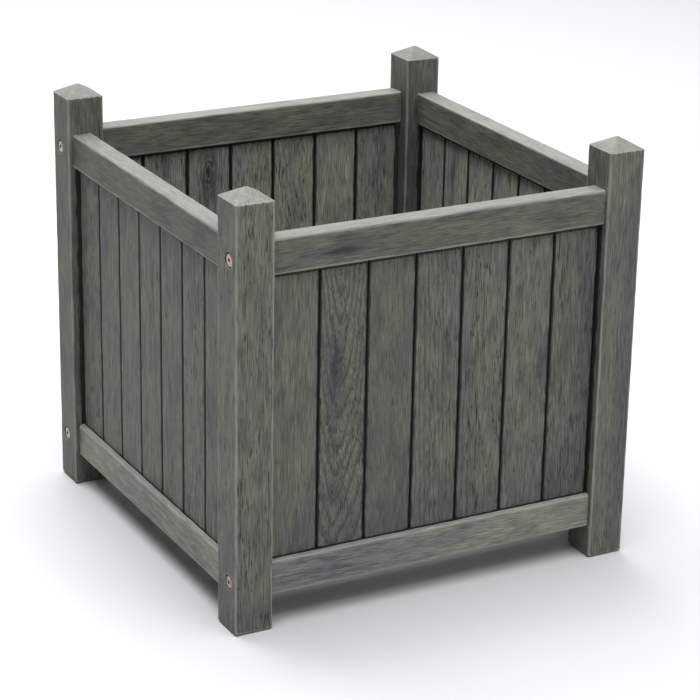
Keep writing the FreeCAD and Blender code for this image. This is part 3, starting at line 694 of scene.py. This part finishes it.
@dataclass
class WoodPiece:
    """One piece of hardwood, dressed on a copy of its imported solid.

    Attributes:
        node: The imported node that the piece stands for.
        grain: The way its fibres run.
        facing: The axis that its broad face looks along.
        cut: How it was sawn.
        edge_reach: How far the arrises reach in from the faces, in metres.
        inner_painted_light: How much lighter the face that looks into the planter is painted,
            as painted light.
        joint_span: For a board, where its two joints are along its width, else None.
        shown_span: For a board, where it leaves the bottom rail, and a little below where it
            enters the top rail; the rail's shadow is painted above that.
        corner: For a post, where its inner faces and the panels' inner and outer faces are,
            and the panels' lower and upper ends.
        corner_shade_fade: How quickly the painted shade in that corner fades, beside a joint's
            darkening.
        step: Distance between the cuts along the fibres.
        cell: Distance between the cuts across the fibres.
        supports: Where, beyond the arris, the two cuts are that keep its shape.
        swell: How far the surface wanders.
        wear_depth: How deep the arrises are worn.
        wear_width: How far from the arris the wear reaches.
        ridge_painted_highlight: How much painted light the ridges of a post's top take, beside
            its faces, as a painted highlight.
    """

    node: str
    grain: Grain
    facing: int
    cut: Cut
    edge_reach: float
    inner_painted_light: float = 1.0
    joint_span: tuple[float, float] | None = None
    shown_span: tuple[float, float] | None = None
    corner: tuple[float, float, float, float, float] | None = None
    corner_shade_fade: float = 0.45
    step: float = 6.0 * MM
    cell: float = 8.0 * MM
    supports: tuple[float, float] = (0.9 * MM, 2.8 * MM)
    swell: float = 0.10 * MM
    wear_depth: float = 0.35 * MM
    wear_width: float = 1.2 * MM
    ridge_painted_highlight: float = 3.0

    def build(self, material: Material, slot: str) -> Thing:
        """Make the piece and put it in the frame.

        Args:
            material: The finish of the wood.
            slot: The record's material slot; not used.

        Returns:
            The finished piece.
        """
        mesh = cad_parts[self.node].data.copy()
        mesh.name = f"{self.node}_wood"
        mesh.materials.clear()
        mesh.materials.append(material)
        shape = bmesh.new()
        shape.from_mesh(mesh)
        bmesh.ops.remove_doubles(shape, verts=shape.verts, dist=1e-6)
        bmesh.ops.dissolve_limit(
            shape, angle_limit=math.radians(0.5), verts=shape.verts, edges=shape.edges)
        self._cut_up(shape)
        distances = self._arris_distances(shape)
        self._add_layers(shape, distances)
        self._weather(shape, distances)
        shape.normal_update()
        return hand_over(shape, mesh, 44, self.node)

    def _side_axis(self) -> int:
        """The axis across the piece's broad face."""
        return 3 - self.grain.value - self.facing

    def _cut_up(self, shape: Shape) -> None:
        """Cut the solid's faces into cells that are small enough to wear and to warp.

        Args:
            shape: The solid.
        """
        low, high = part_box(self.node)
        for axis in range(3):
            pace = self.step if axis == self.grain.value else self.cell
            start, end = low[axis], high[axis]
            count = max(1, round((end - start) / pace))
            places = [start + (end - start) * number / count for number in range(1, count)]
            if axis != self.grain.value:
                for support in self.supports:
                    reach = self.edge_reach + support
                    places += [start + reach, end - reach]
            normal = unit(axis)
            for place in sorted(places):
                bmesh.ops.bisect_plane(
                    shape, geom=shape.verts[:] + shape.edges[:] + shape.faces[:],
                    dist=0.02 * MM, plane_co=normal * place, plane_no=normal)

    def _turned_edges(self, shape: Shape, degrees: float, on_top: bool) -> set:
        """Find where the solid's outside edges are.

        Args:
            shape: The solid, cut up.
            degrees: How far an edge has to turn to count.
            on_top: Whether to take the edges between two faces that look up, or the others.

        Returns:
            The vertices of those edges.
        """
        return {
            vertex
            for edge in shape.edges
            if edge.calc_face_angle_signed(0.0) > math.radians(degrees)
            and all(face.normal.z > 0.5 for face in edge.link_faces) == on_top
            for vertex in edge.verts
        }

    def _arris_distances(self, shape: Shape) -> list[float]:
        """Measure how far each vertex is from the nearest arris.

        Args:
            shape: The solid, cut up.

        Returns:
            A distance for each vertex, in order, in metres.
        """
        shape.normal_update()
        arrises = self._turned_edges(shape, 4, False)
        tree = KDTree(len(arrises))
        for number, vertex in enumerate(arrises):
            tree.insert(vertex.co, number)
        tree.balance()
        return [min(tree.find(vertex.co)[2], 30 * MM) for vertex in shape.verts]

    def _add_layers(self, shape: Shape, distances: list[float]) -> None:
        """Store what the finish needs to know at each vertex.

        Args:
            shape: The solid, cut up.
            distances: How far each vertex is from an arris.
        """
        low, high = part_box(self.node)
        middle = (low + high) / 2
        outward = Vector((middle.x, middle.y, 0)).normalized()
        turn = Matrix((unit(self._side_axis()), unit(self.facing), unit(self.grain.value)))
        lean = Euler((-self.cut.slope[1], self.cut.slope[0], 0)).to_matrix()
        heart = Vector((*self.cut.heart_mm, self.cut.along_mm)) * MM
        knot = self.cut.knot_mm
        knot_place = Vector((knot[0], 0, knot[1])) * MM if knot else Vector((FAR_AWAY,) * 3)
        ridges = self._turned_edges(shape, 20, True)
        kinds = shape.verts.layers
        layers = {
            layer: (kinds.float_vector if layer in VECTOR_LAYERS else kinds.float).new(
                layer.value)
            for layer in Layer
        }
        for vertex, distance in zip(shape.verts, distances):
            plank = turn @ (vertex.co - middle)
            inner = -vertex.normal.dot(outward) > 0.6
            # How much painted top light a vertex takes: more as its face looks up, and most on
            # the ridges of a post's top, as a painted highlight.
            upward = max(0.0, min(1.0, 2.0 * vertex.normal.z - 0.6))
            values = {
                Layer.GRAIN: lean @ plank + heart,
                Layer.KNOT: plank - knot_place,
                Layer.ARRIS: distance,
                Layer.JOINT_AND_SHADE: self._joint_and_shade_distance(vertex.co),
                Layer.TONE_AND_LIGHT: self.cut.tone * (self.inner_painted_light if inner else 1.0),
                Layer.FIGURE: Vector(self.cut.figure),
                Layer.STAIN: self._soak(plank),
                Layer.UPWARD_LIGHT: self.ridge_painted_highlight if vertex in ridges else upward,
            }
            for layer, value in values.items():
                vertex[layers[layer]] = value

    def _joint_and_shade_distance(self, place: Vector) -> float:
        """How far a point is inside the band of dark joints and painted shade: a board's joints
        and rail edges, or a post's recessed corner; far away on other pieces.

        Args:
            place: The point, in the frame.

        Returns:
            The distance, in metres, below zero on a tongue.
        """
        if self.corner is not None:
            return self._corner_shade_distance(place)
        if self.joint_span is None:
            return FAR_AWAY
        start, end = self.joint_span
        bottom, top = self.shown_span
        across = place[self._side_axis()]
        return min(across - start, end - across, place.z - bottom, top - place.z)

    def _corner_shade_distance(self, place: Vector) -> float:
        """How deep in the recessed corner between a post and a panel a point is, where shade is
        painted.

        Args:
            place: The point, in the frame.

        Returns:
            The distance from the corner, scaled so that the painted shade fades over several
            millimetres, or far away on the post's other faces.
        """
        face_place, panel_inside, panel_outside, bottom, top = self.corner
        nearest = FAR_AWAY
        for face, out in ((abs(place.x), abs(place.y)), (abs(place.y), abs(place.x))):
            if abs(face - face_place) < 0.6 * MM and bottom < place.z < top:
                gap = max(0.0, out - panel_outside, panel_inside - out)
                nearest = min(nearest, gap * self.corner_shade_fade)
        return nearest

    def _soak(self, plank: Vector) -> float:
        """How much stain has soaked in at a point.

        Args:
            plank: The point from the piece's middle: across, through and along.

        Returns:
            0 where none has, up to about 1.
        """
        total = 0.0
        for across, along, half_length, half_width, strength in self.cut.soaked:
            spread = math.hypot(
                (plank.x / MM - across) / half_width, (plank.z / MM - along) / half_length)
            total += strength * math.exp(-spread * spread)
        return total

    def _weather(self, shape: Shape, distances: list[float]) -> None:
        """Cup the piece, let its surface wander, and wear its arrises unevenly.

        Args:
            shape: The solid, cut up.
            distances: How far each vertex is from an arris.
        """
        low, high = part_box(self.node)
        middle = (low + high) / 2
        side = self._side_axis()
        half = (high[side] - low[side]) / 2
        swells, chips = (Vector((1 / across,) * 3) for across in (0.022, 0.009))
        swells[self.grain.value] = 1 / 0.11
        chips[self.grain.value] = 1 / 0.016
        shift = Vector((self.cut.along_mm, self.cut.heart_mm[0], self.cut.heart_mm[1]))
        moves = []
        for vertex, distance in zip(shape.verts, distances):
            place = vertex.co - middle
            swell = noise.noise(place * swells + shift) * self.swell
            chip = max(0.0, noise.noise(place * chips + shift) + 0.15)
            wear = chip * self.wear_depth * math.exp(-((distance / self.wear_width) ** 2))
            move = vertex.normal * (swell - self.swell - wear)
            move[self.facing] += self.cut.cup_mm * MM * (0.4 - (place[side] / half) ** 2)
            moves.append(move)
        for vertex, move in zip(shape.verts, moves):
            vertex.co += move


@dataclass
class Posts:
    """The four corner posts, with low pyramid tops."""

    edge_radius: float = 1.6 * MM
    names: tuple[str, ...] = ("front_left", "front_right", "back_left", "back_right")
    cuts: tuple[Cut, ...] = (
        Cut((52, 20), (0.012, 0.004), 0, 1.03, figure=(0.2, 1.0, 0.9),
            soaked=((0, -250, 110, 60, 0.4),)),
        Cut((-60, 34), (-0.010, 0.008), 910, 0.99, figure=(0.2, 0.5, 0.5),
            soaked=((12, -60, 280, 16, 0.7),)),
        Cut((70, -30), (0.016, -0.006), 1730, 0.93, figure=(0.2, 0.4, 0.7),
            soaked=((0, 120, 160, 60, 0.3),)),
        Cut((-48, -52), (0.008, 0.012), 2610, 0.84, figure=(0.2, 0.5, 0.9),
            soaked=((0, 120, 160, 60, 0.5),)),
    )

    def build(self, finish: WashedWood) -> None:
        """Make the posts.

        Args:
            finish: The finish of the posts.
        """
        material = finish.build()
        # The posts' recessed corners beside the panels, where shade is painted.
        inside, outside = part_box("board_right_1")
        corner = (
            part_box("post_front_right")[0][0], inside[0], outside[0],
            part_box("bottom_rail_front")[1][2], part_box("top_rail_front")[0][2],
        )
        for name, cut in zip(self.names, self.cuts):
            WoodPiece(
                f"post_{name}", Grain.UPRIGHT, 1, cut, self.edge_radius, corner=corner,
            ).build(material, finish.slot)


@dataclass
class Rails:
    """The top and bottom rails of the four sides."""

    edge_radius: float = 2.0 * MM
    # How much lighter the bottom rails are painted, as painted light.
    bottom_painted_light: float = 1.7
    seed: int = 11
    top_tones: dict[str, float] = field(default_factory=lambda: {
        "front": 0.86, "right": 1.0, "back": 1.0, "left": 0.86,
    })
    soaked: dict[str, tuple] = field(default_factory=lambda: {
        "top_rail_front": (
            (-5, -128, 34, 4, 1.15), (1, -92, 34, 4, 1.15), (-6, 150, 18, 6, 0.9)),
        "bottom_rail_front": ((0, -140, 190, 40, 0.75),),
        "bottom_rail_left": ((0, 0, 240, 40, 0.3),),
        "bottom_rail_right": ((0, 0, 240, 40, 0.4),),
        "bottom_rail_back": ((0, 0, 240, 40, 0.4),),
    })

    def build(self, finish: WashedWood) -> None:
        """Make the rails.

        Args:
            finish: The finish of the rails.
        """
        material = finish.build()
        draw = random.Random(self.seed).uniform
        for side in SIDES:
            long_side = side in ("front", "back")
            for level in ("bottom", "top"):
                # The bottom rails are painted lighter as painted light; the top rails take
                # their listed lightness.
                lightness = self.bottom_painted_light if level == "bottom" else self.top_tones[side]
                cut = Cut(
                    (draw(-30, 30), draw(45, 90)),
                    (draw(-0.03, 0.03), draw(-0.02, 0.02)),
                    draw(0, 9000),
                    draw(0.95, 1.04) * lightness,
                    figure=(draw(0.15, 0.35), draw(0.3, 0.6), 0.8),
                    soaked=self.soaked.get(f"{level}_rail_{side}", ()),
                )
                WoodPiece(
                    f"{level}_rail_{side}",
                    Grain.LEFT_RIGHT if long_side else Grain.FRONT_BACK,
                    1 if long_side else 0, cut, self.edge_radius, wear_depth=0.5 * MM,
                ).build(material, finish.slot)


@dataclass
class BoardPanels:
    """The upright tongue-and-groove boards of the four sides."""

    boards_per_side: int = 7
    joint_gap: float = 1.5 * MM
    edge_bevel: float = 1.0 * MM
    end_gap: float = 2.0 * MM
    # How far below the top rail's underside the painted shadow of that rail starts to fade on
    # the boards.
    rail_shade: float = 2.8 * MM
    # How much lighter the faces that look into the planter are painted, as painted light; the
    # right side's most.
    inner_painted_light: float = 1.7
    right_inner_painted_light: float = 2.3
    seed: int = 5
    special: dict[str, Cut] = field(default_factory=lambda: {
        "board_front_1": Cut(
            (60, 50), (0.01, 0.01), 1200, 0.96, 0.1, figure=(0.15, 0.35, 0.4),
            soaked=((0, -150, 55, 40, 0.55),)),
        "board_front_2": Cut(
            (6, -26), (0.0, 0.13), 300, 1.0, 0.25, figure=(0.85, 0.9, 0.8),
            soaked=((-14, 40, 55, 13, 1.0), (0, -150, 60, 40, 0.5))),
        "board_front_3": Cut(
            (-55, 60), (0.01, 0.0), 2100, 0.89, 0.0, figure=(0.15, 0.5, 0.4),
            soaked=((0, -155, 50, 40, 0.55),)),
        "board_front_4": Cut(
            (40, 30), (0.01, 0.03), 2900, 1.02, 0.1, figure=(0.5, 0.8, 1.0),
            soaked=((0, 165, 14, 30, 0.4), (0, -160, 50, 40, 0.5))),
        "board_front_5": Cut(
            (-30, 55), (0.02, 0.01), 3700, 1.03, 0.0, figure=(0.3, 1.2, 1.2),
            soaked=((-25, 0, 200, 7, 0.6), (0, -160, 50, 40, 0.5))),
        "board_front_6": Cut(
            (-50, 70), (0.01, -0.03), 4400, 1.03, -0.2, figure=(0.25, 0.7, 0.6),
            soaked=((18, 10, 45, 12, 0.95), (0, -160, 60, 40, 0.55))),
        "board_front_7": Cut(
            (20, 80), (0.01, 0.02), 6100, 0.93, 0.15, figure=(0.4, 0.9, 1.4),
            soaked=((16, 60, 120, 10, 0.7), (0, -150, 80, 40, 0.65))),
        "board_back_5": Cut(
            (34, 60), (0.01, 0.01), 5200, 1.0, 0.2, (2, 130), (0.4, 0.8, 1.2),
            ((2, 120, 50, 20, 0.7), (0, 40, 120, 40, 0.4))),
    })

    def build(self, finish: WashedWood) -> None:
        """Make the boards.

        Args:
            finish: The finish of the boards.
        """
        material = finish.build()
        chance = random.Random(self.seed)
        draw = chance.uniform
        rail_low, rail_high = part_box("bottom_rail_front")
        start, end = rail_low[0] + self.end_gap, rail_high[0] - self.end_gap
        pitch = (end - start + self.joint_gap) / self.boards_per_side
        shown = (rail_high[2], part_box("top_rail_front")[0][2] - self.rail_shade)
        for side in SIDES:
            facing = 1 if side in ("front", "back") else 0
            inner = self.right_inner_painted_light if side == "right" else self.inner_painted_light
            for number in range(1, self.boards_per_side + 1):
                node = f"board_{side}_{number}"
                cut = self.special.get(node) or Cut(
                    (draw(-45, 45), draw(25, 110) * chance.choice((-1, 1))),
                    (draw(-0.02, 0.02), draw(-0.05, 0.05)),
                    draw(0, 9000), draw(0.92, 1.07), draw(-0.35, 0.35),
                    figure=(draw(0.1, 0.4), draw(0.3, 1.2), draw(0.4, 1.4)),
                    soaked=(
                        # The boards are darker towards the bottom; the left side's far less, as
                        # painted light from the floor.
                        (0, -160, draw(40, 70), 40,
                         draw(0.5, 0.8) * (0.3 if side == "left" else 1.0)),
                        (draw(-20, 20), draw(-40, 150), draw(25, 90), draw(6, 20),
                         draw(0.3, 0.7)),
                        (draw(-20, 20), 150, 60, 25,
                         0.45 if side in ("right", "back") else 0.0),
                    ),
                )
                low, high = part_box(node)
                middle = (low + high)[1 - facing] / 2
                left = start + int((middle - start) / pitch) * pitch
                WoodPiece(
                    node, Grain.UPRIGHT, facing, cut, self.edge_bevel, inner,
                    (left, left + pitch - self.joint_gap), shown, cell=9.0 * MM,
                    wear_depth=0.25 * MM,
                ).build(material, finish.slot)


@dataclass
class SlattedFloor:
    """The floor slats and the two cleats that they rest on."""

    slats: int = 7
    edge_radius: float = 1.2 * MM
    seed: int = 23

    def build(self, finish: WashedWood) -> None:
        """Make the slats and the cleats.

        Args:
            finish: The finish of the floor.
        """
        material = finish.build()
        draw = random.Random(self.seed).uniform
        pieces = [(f"floor_slat_{1 + index}", Grain.LEFT_RIGHT) for index in range(self.slats)]
        pieces += [(f"floor_cleat_{side}", Grain.FRONT_BACK) for side in ("left", "right")]
        for node, grain in pieces:
            cut = Cut(
                (draw(-30, 30), draw(30, 80)),
                (draw(-0.02, 0.02), draw(-0.04, 0.04)),
                draw(0, 9000),
                draw(0.88, 1.1),
            )
            WoodPiece(node, grain, 2, cut, self.edge_radius).build(material, finish.slot)


@dataclass
class JointBolts:
    """Eight flat-head joint bolts with hexagon sockets, sunk in the posts' side faces."""

    head_radius: float = 7.5 * MM
    head_thickness: float = 2.2 * MM
    rim_bevel: float = 1.1 * MM
    seat_depth: float = 3.0 * MM
    shank_radius: float = 3.0 * MM
    shank_length: float = 60.0 * MM
    tip_bevel: float = 0.9 * MM
    socket_flats: float = 4.0 * MM
    socket_depth: float = 3.2 * MM
    side_cuts: int = 7

    def build(self, finish: TintedFinish) -> Thing:
        """Make the bolts as one piece.

        Args:
            finish: The finish of the bolts.

        Returns:
            The finished piece.
        """
        shape = bmesh.new()
        for level in ("bottom", "top"):
            for side in ("front", "back"):
                low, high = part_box(f"{level}_rail_{side}")
                middle = (low + high) / 2
                for way in (-1, 1):
                    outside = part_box("post_front_left")[0][0] * -way
                    face = outside - way * (self.seat_depth - self.head_thickness)
                    turn = Matrix.Rotation(way * math.pi / 2, 4, "Y")
                    self._add_bolt(shape, Matrix.Translation((face, middle.y, middle.z)) @ turn)
        bmesh.ops.recalc_face_normals(shape, faces=shape.faces)
        mesh = bpy.data.meshes.new("joint_bolts_steel")
        mesh.materials.append(finish.build())
        return hand_over(shape, mesh, 32, "joint_bolts")

    def _add_bolt(self, whole: Shape, place: Matrix) -> None:
        """Add one bolt, whose head looks along the place's third axis.

        Args:
            whole: The mesh to add to.
            place: Where the middle of the head's outer face is, and its turn.
        """
        shape = bmesh.new()
        segments = 6 * (self.side_cuts + 1)
        rim = bmesh.ops.create_circle(shape, radius=self.head_radius, segments=segments)
        rim_edges = list({edge for vertex in rim["verts"] for edge in vertex.link_edges})
        socket = bmesh.ops.create_circle(
            shape, radius=self.socket_flats / math.sqrt(3), segments=6)
        sides = list({edge for vertex in socket["verts"] for edge in vertex.link_edges})
        parts = bmesh.ops.subdivide_edges(shape, edges=sides, cuts=self.side_cuts)
        socket_edges = [item for item in parts["geom"] if isinstance(item, bmesh.types.BMEdge)]
        bmesh.ops.bridge_loops(shape, edges=rim_edges + socket_edges)
        self._draw_out(shape, socket_edges, 1.0, -self.socket_depth, True)
        under = self._draw_out(shape, rim_edges, 1.0, -self.head_thickness, False)
        neck = self._draw_out(shape, under, self.shank_radius / self.head_radius, 0.0, False)
        end = self._draw_out(shape, neck, 1.0, self.tip_bevel - self.shank_length, False)
        tip_scale = (self.shank_radius - self.tip_bevel) / self.shank_radius
        self._draw_out(shape, end, tip_scale, -self.tip_bevel, True)
        bmesh.ops.bevel(
            shape, geom=rim_edges, offset=self.rim_bevel, offset_type="OFFSET", segments=3,
            profile=0.5, affect="EDGES", material=-1)
        bmesh.ops.transform(shape, matrix=place, verts=shape.verts)
        single = bpy.data.meshes.new("joint_bolt")
        shape.to_mesh(single)
        shape.free()
        whole.from_mesh(single)
        bpy.data.meshes.remove(single)

    def _draw_out(
        self, shape: Shape, edges: list, scale: float, drop: float, close: bool
    ) -> list:
        """Draw a ring of edges out into a wall, scaled and moved along the bolt.

        Args:
            shape: The mesh.
            edges: The ring.
            scale: How much wider the far end of the wall is.
            drop: How far the wall runs along the bolt's own third axis.
            close: Whether to close the far end.

        Returns:
            The far ring of the wall.
        """
        drawn = bmesh.ops.extrude_edge_only(shape, edges=edges)["geom"]
        ring = [item for item in drawn if isinstance(item, bmesh.types.BMEdge)]
        verts = [item for item in drawn if isinstance(item, bmesh.types.BMVert)]
        bmesh.ops.scale(shape, vec=(scale, scale, 1.0), verts=verts)
        bmesh.ops.translate(shape, vec=(0.0, 0.0, drop), verts=verts)
        if close:
            bmesh.ops.contextual_create(shape, geom=ring)
        return ring


@dataclass
class BoughtHardware:
    """Inserts, dowels and screws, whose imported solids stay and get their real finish."""

    def build(self) -> None:
        """Dress each packed hardware node."""
        # Steel, turned and zinc-plated: a dull silver with faint yellow tints.
        insert = plated_steel(
            "zinc_plated_threaded_insert", "#a9a79f", "#b09a78", "#9aa58c", 0.42)
        # Steel, cold-headed and yellow-zinc plated: a soft gold that shifts to green.
        screw = plated_steel("yellow_zinc_wood_screw", "#b5a678", "#c19a6a", "#9fa774", 0.36)
        # Bare beech, turned and fluted: a pale pinkish rod with short brown flecks.
        dowel = TintedFinish(
            "turned_beech_rod", "#c9a27c", ((0.5, 0.7, 1.0, "#9a6f4c"),), (3.0, 0.6, 0.6, 3.0),
            (3.0, 0.6, 0.6, 3.0), 0.62, 0.0, 0.0, (0.3, 0.2))
        for finish, nodes in (
            (insert, ("threaded_inserts",)),
            (dowel, ("locating_dowels",)),
            (screw, ("floor_slat_screws", "cleat_screws")),
        ):
            material = finish.build()
            for node in nodes:
                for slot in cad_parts[node].material_slots:
                    slot.material = material
                LOG.info("%s: %s", node, material.name)


@dataclass
class Studio:
    """A pale floor, soft light from above and behind, and the camera.

    Attributes:
        azimuth: Where the camera is, round the planter, in degrees from the front.
        elevation: How high it is above the floor, in degrees.
        roll: How far it is turned about its own axis, in degrees.
        distance: How far away it is.
        lens_mm: Its focal length.
        across: How far right of the middle of its view the planter's origin is, in metres.
        upward: How far above that middle the origin is, in metres.
        lights: For each square light, its name, azimuth and elevation in degrees, distance,
            side, power in watts, and colour.
    """

    azimuth: float = -28.39
    elevation: float = 20.73
    roll: float = 1.08
    distance: float = 3.0
    lens_mm: float = 127.4
    across: float = -0.021
    upward: float = -0.193
    lights: tuple[tuple[str, float, float, float, float, float, str], ...] = (
        ("key_light", -172.0, 62.0, 4.0, 3.0, 170.0, "#fbfcff"),
        ("overhead_light", -12.0, 80.0, 4.2, 4.5, 322.0, "#fbfcff"),
        ("back_light", 158.0, 26.0, 4.5, 3.0, 36.0, "#ffffff"),
        ("fill_light", 8.0, 36.0, 4.5, 3.0, 34.0, "#fff9f6"),
    )

    def build(self) -> None:
        """Set up the floor, the lights and the camera."""
        self._floor()
        self._lights()
        self._camera()
        bpy.context.scene.view_settings.view_transform = "Standard"

    def _floor(self) -> None:
        """Lay the pale floor."""
        shape = bmesh.new()
        bmesh.ops.create_grid(shape, x_segments=2, y_segments=2, size=30.0)
        mesh = bpy.data.meshes.new("studio_floor")
        shape.to_mesh(mesh)
        shape.free()
        floor = link_object("studio_floor", mesh)
        # Painted board, matt: a plain pale ground that the planter's soft shadow lies on.
        material, shader = new_material("pale_studio_floor", "#bebebe")
        shader.inputs["Roughness"].default_value = 0.9
        mesh.materials.append(material)
        floor.location.z = -0.5 * MM

    def _away(self, azimuth: float, elevation: float) -> Vector:
        """Find the direction from the planter to a place in the studio.

        Args:
            azimuth: Where the place is, round the planter, in degrees from the front.
            elevation: How high it is above the floor, in degrees.

        Returns:
            The direction, of length 1.
        """
        turn, lift = math.radians(azimuth), math.radians(elevation)
        return Vector((
            math.sin(turn) * math.cos(lift), -math.cos(turn) * math.cos(lift), math.sin(lift)
        ))

    def _lights(self) -> None:
        """Hang the lights and set the room's own dim light."""
        for name, azimuth, elevation, distance, size, power, tint in self.lights:
            light = bpy.data.lights.new(name, "AREA")
            light.shape = "SQUARE"
            light.size = size
            light.energy = power
            light.color = linear(tint)[:3]
            lamp = link_object(name, light)
            away = self._away(azimuth, elevation)
            lamp.location = Vector((0, 0, 0.25)) + away * distance
            lamp.rotation_euler = away.to_track_quat("Z", "Y").to_euler()
        world = bpy.data.worlds.new("studio_room")
        world.use_nodes = True
        bpy.context.scene.world = world
        background = world.node_tree.nodes["Background"]
        background.inputs["Color"].default_value = linear("#f4f6f8")
        background.inputs["Strength"].default_value = 0.25

    def _camera(self) -> None:
        """Put the camera above the rim, in front of the planter and to its left."""
        data = bpy.data.cameras.new("studio_camera")
        data.lens = self.lens_mm
        data.sensor_width = 36.0
        camera = link_object("studio_camera", data)
        roll = math.radians(self.roll)
        back = self._away(self.azimuth, self.elevation)
        right = Vector((0, 0, 1)).cross(back).normalized()
        above = back.cross(right)
        tilted_right = right * math.cos(roll) + above * math.sin(roll)
        tilted_above = above * math.cos(roll) - right * math.sin(roll)
        turned = Matrix((tilted_right, tilted_above, back)).transposed()
        camera.location = turned @ Vector((-self.across, -self.upward, self.distance))
        camera.rotation_euler = turned.to_euler()
        bpy.context.scene.camera = camera


def main() -> None:
    """Build every sub-assembly in order."""
    logging.basicConfig(level=logging.INFO, format="%(message)s")
    greys = {
        "ground_hex": "#66675b",
        "cool_hex": "#575852",
        "green_hex": "#5c645d",
        "ring_hex": "#3e3f3a",
        "soak_hex": "#555457",
        "dark_hex": "#1c1d1c",
        "worn_hex": "#989c93",
        "top_light_hex": "#a2a7a2",
    }
    # Post hardwood, planed and grey-washed: a plain straight grain, open pores as short dark
    # dashes, and pale rubbed arrises that draw the square section.
    # The posts' tops are painted lighter, most on their ridges, and shade is painted in their
    # recessed corners.
    Posts().build(WashedWood("grey_washed_hardwood_post", slot="post_wood", **greys))
    # Rail hardwood, planed and grey-washed: a calmer grain that runs level, with few pores, so
    # that the frame of each side reads as one line round its boards.
    Rails().build(WashedWood(
        "grey_washed_hardwood_rail", slot="rail_wood", pore_strength=0.5,
        streak_strength=0.45, **greys))
    # Board hardwood, moulded with tongues and grey-washed: each board differs in rings, pores
    # and smudges, and the wash stands dark in the joints. The faces that look into the planter
    # are painted lighter as painted light, and the top rail's shadow is painted below that
    # rail.
    BoardPanels().build(WashedWood(
        "grey_washed_hardwood_board", slot="board_wood", ring_strength=0.8,
        wear_strength=0.35, **greys))
    # Floor hardwood, sawn and left to grey: the same grain, browner, without the wash's olive.
    SlattedFloor().build(WashedWood(
        "greyed_sawn_hardwood_floor", slot="floor_wood", ground_hex="#6f6c60",
        cool_hex="#615f57", green_hex="#66675d", ring_hex="#47453d", soak_hex="#4b4946",
        dark_hex="#23221f", worn_hex="#98958a", top_light_hex="#8f8c81"))
    # Steel, turned, zinc-plated and passivated: a pale disc with pink and yellow-green tints,
    # a bright rim and a dark socket.
    JointBolts().build(plated_steel(
        "yellow_zinc_plated_bolt", "#a79c90", "#ab7f6c", "#a3a57c", 0.24))
    BoughtHardware().build()
    Studio().build()


if __name__ == "__main__":
    main()
